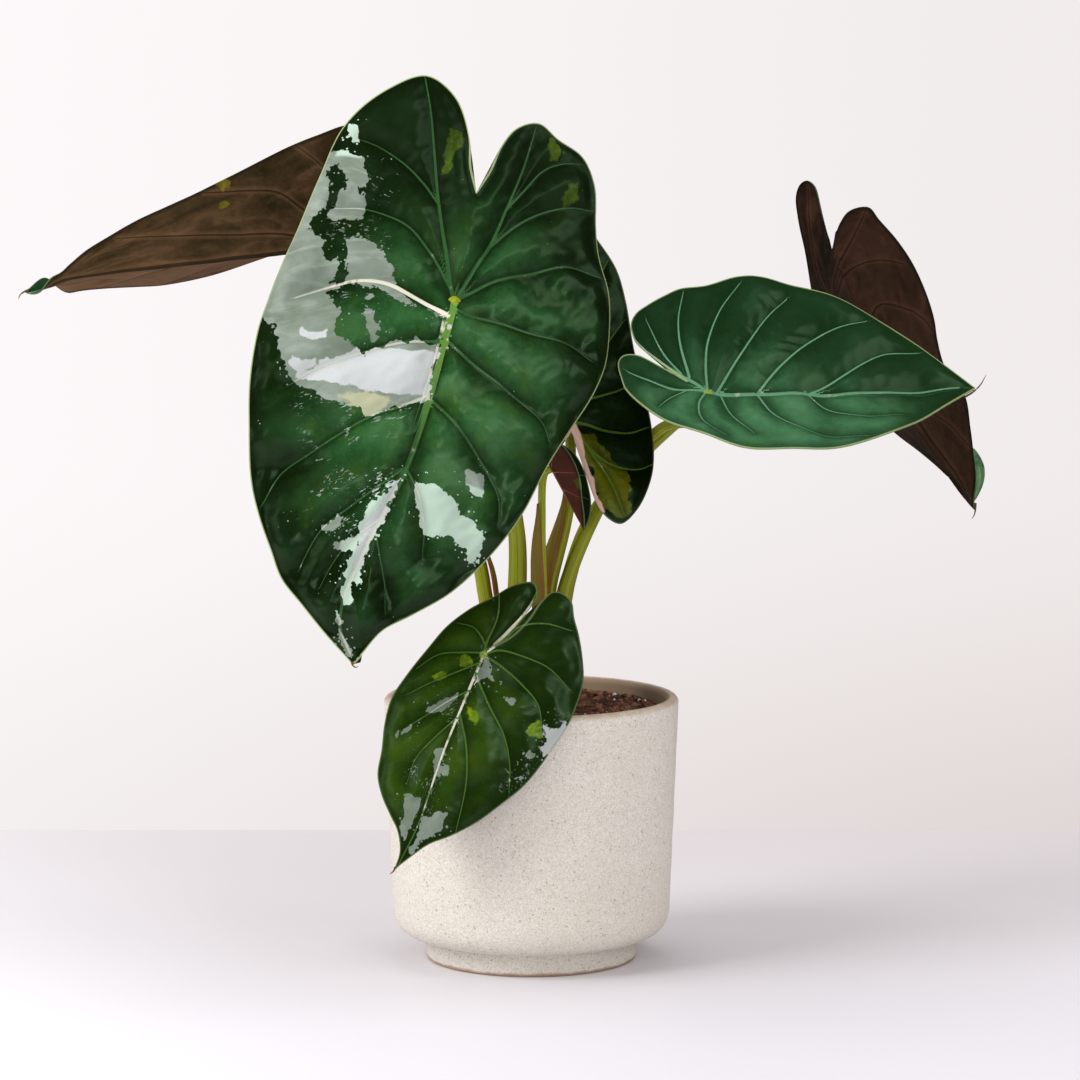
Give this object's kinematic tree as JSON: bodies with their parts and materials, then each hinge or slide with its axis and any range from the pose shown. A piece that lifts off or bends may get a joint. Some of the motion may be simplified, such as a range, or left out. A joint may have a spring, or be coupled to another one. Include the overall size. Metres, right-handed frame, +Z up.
{
  "type": "potted variegated alocasia wentii",
  "caption": "Aroid house plant with heart-shaped, white-splashed green leaves on long stalks, rooted in soil in a round, footed stoneware pot",
  "frame": {"origin": "the middle of the flat underside of the pot's foot, on the surface it stands on", "axes": "+Z up, along the pot's axis; -Y toward the side with the largest leaf; +X to the right as seen from that side"},
  "size_m": [0.4607, 0.2057, 0.4187],
  "materials": {
    "stoneware": "matt pale oatmeal glaze with fine brown specks",
    "soil": "loose dark brown potting mix",
    "leaf_green": "glossy dark green leaf with grey-green and cream splashes",
    "leaf_purple": "brown-purple underside of a glossy leaf",
    "stalk_green": "smooth olive-green stalk",
    "sheath_brown": "dry papery brown sheath"
  },
  "bodies": {
    "root": {"pot": "stoneware", "soil": "soil", "blade_main": "leaf_green", "blade_leftBack": "leaf_purple", "blade_rightFront": "leaf_green", "blade_rightBack": "leaf_purple", "blade_centerBack": "leaf_green", "blade_youngest": "leaf_green", "blade_lowerFront": "leaf_green", "stalk_main": "stalk_green", "stalk_leftBack": "stalk_green", "stalk_rightFront": "stalk_green", "stalk_rightBack": "stalk_green", "stalk_centerBack": "stalk_green", "stalk_youngest": "stalk_green", "stalk_lowerFront": "stalk_green", "sheath_leftBack": "sheath_brown", "sheath_youngest": "sheath_brown", "sheath_centerBack": "sheath_brown"}
  },
  "joints": []
}
